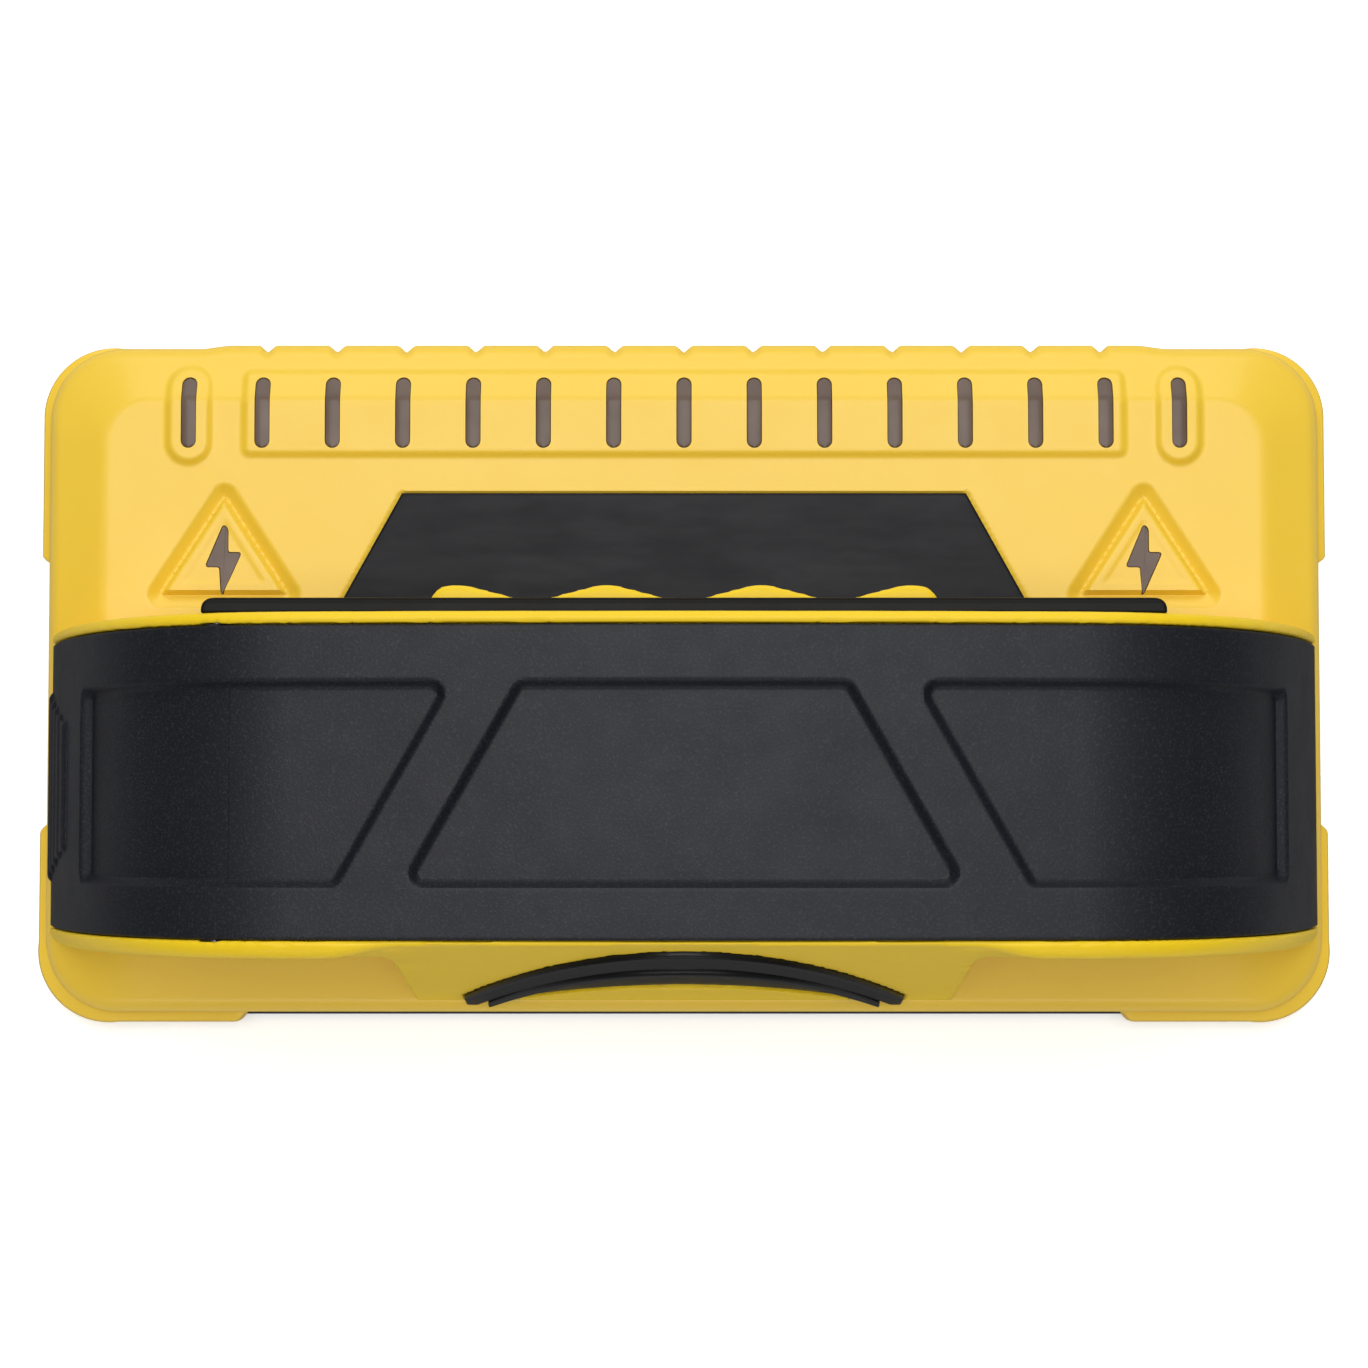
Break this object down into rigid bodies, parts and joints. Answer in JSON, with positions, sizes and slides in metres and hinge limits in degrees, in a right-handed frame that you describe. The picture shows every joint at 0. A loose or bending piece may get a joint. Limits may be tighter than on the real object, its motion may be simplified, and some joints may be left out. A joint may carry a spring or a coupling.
{
  "type": "stud finder",
  "caption": "Wide hand-held stud finder: flat sensing base with a row of light windows, arched grip handle, thumb button and hinged battery door.",
  "frame": {"origin": "centre of the bounding box at the wall face, z = 0 on the flat face that slides on the wall", "axes": "+X along the row of light windows, +Y towards the edge with the light windows, +Z out of the wall towards the handle"},
  "size_m": [0.1858, 0.0974, 0.0575],
  "materials": {
    "yellow_plastic": "satin moulded plastic, fine sparked texture",
    "textured_black_plastic": "charcoal moulded plastic, fine sparked texture",
    "smooth_black_plastic": "smooth black, soft sheen, faint smudges",
    "soft_black_strip": "soft matte black elastomer",
    "dark_base_plastic": "dark glide plate",
    "smoked_lens": "smoky brown translucent plastic",
    "circuit_board": "green solder mask",
    "chip_black": "black epoxy",
    "white_plastic": "off-white connector body",
    "led_body": "white LED body",
    "cell_jacket": "plain printed steel jacket",
    "contact_steel": "nickel-plated spring steel",
    "steel_pin": "drawn steel",
    "screw_steel": "zinc-plated screw"
  },
  "bodies": {
    "base": {"wall_plate": "dark_base_plastic", "back_shell": "yellow_plastic", "front_shell": "yellow_plastic", "finger_well_liner": "smooth_black_plastic", "handle_body": "yellow_plastic", "grip_cover": "textured_black_plastic", "door_hinge_pin": "steel_pin", "finger_strip": "soft_black_strip", "thumb_bezel": "textured_black_plastic", "tact_switch": "chip_black", "switch_board": "circuit_board", "light_pipe": "smoked_lens", "edge_window_left": "smoked_lens", "edge_window_right": "smoked_lens", "bolt_window_left": "smoked_lens", "bolt_window_right": "smoked_lens", "sensor_board": "circuit_board", "controller_chip": "chip_black", "amplifier_chip": "chip_black", "board_connector": "white_plastic", "buzzer": "chip_black", "battery_cell_1": "cell_jacket", "battery_cell_2": "cell_jacket", "end_contact_1": "contact_steel", "end_contact_2": "contact_steel", "led_01": "led_body", "led_02": "led_body", "led_03": "led_body", "led_04": "led_body", "led_05": "led_body", "led_06": "led_body", "led_07": "led_body", "led_08": "led_body", "led_09": "led_body", "led_10": "led_body", "led_11": "led_body", "led_12": "led_body", "led_13": "led_body", "led_edge_left": "led_body", "led_edge_right": "led_body", "led_bolt_left": "led_body", "led_bolt_right": "led_body", "case_screw_1": "screw_steel", "case_screw_2": "screw_steel", "case_screw_3": "screw_steel", "case_screw_4": "screw_steel", "case_screw_5": "screw_steel", "case_screw_6": "screw_steel", "handle_screw_1": "screw_steel", "handle_screw_2": "screw_steel", "handle_screw_3": "screw_steel", "handle_screw_4": "screw_steel"},
    "battery_door": {"battery_door": "textured_black_plastic", "door_contact": "contact_steel"},
    "door_latch": {"door_latch": "textured_black_plastic"},
    "thumb_button": {"thumb_button": "textured_black_plastic"},
    "switch_plunger": {"switch_plunger": "chip_black"}
  },
  "joints": [
    {"name": "thumb_press", "type": "slide", "parent": "base", "child": "thumb_button", "axis": [0, 0.9771, -0.213], "range_m": [0, 0.00125], "stiffness_N_per_m": 1500, "springref_m": -0.0004},
    {"name": "switch_press", "type": "slide", "parent": "base", "child": "switch_plunger", "axis": [0, 0.9771, -0.213], "range_m": [0, 0.00025]},
    {"name": "door_hinge", "type": "hinge", "parent": "base", "child": "battery_door", "pos_m": [-0.06, 0, 0.05163], "axis": [0, 1, 0], "range_deg": [0, 70]},
    {"name": "latch_press", "type": "slide", "parent": "battery_door", "child": "door_latch", "axis": [1, 0, 0], "range_m": [0, 0.0012], "stiffness_N_per_m": 1200, "springref_m": -0.0004}
  ],
  "couplings": [
    {"joint": "switch_press", "follows": "thumb_press", "ratio": 0.2}
  ]
}
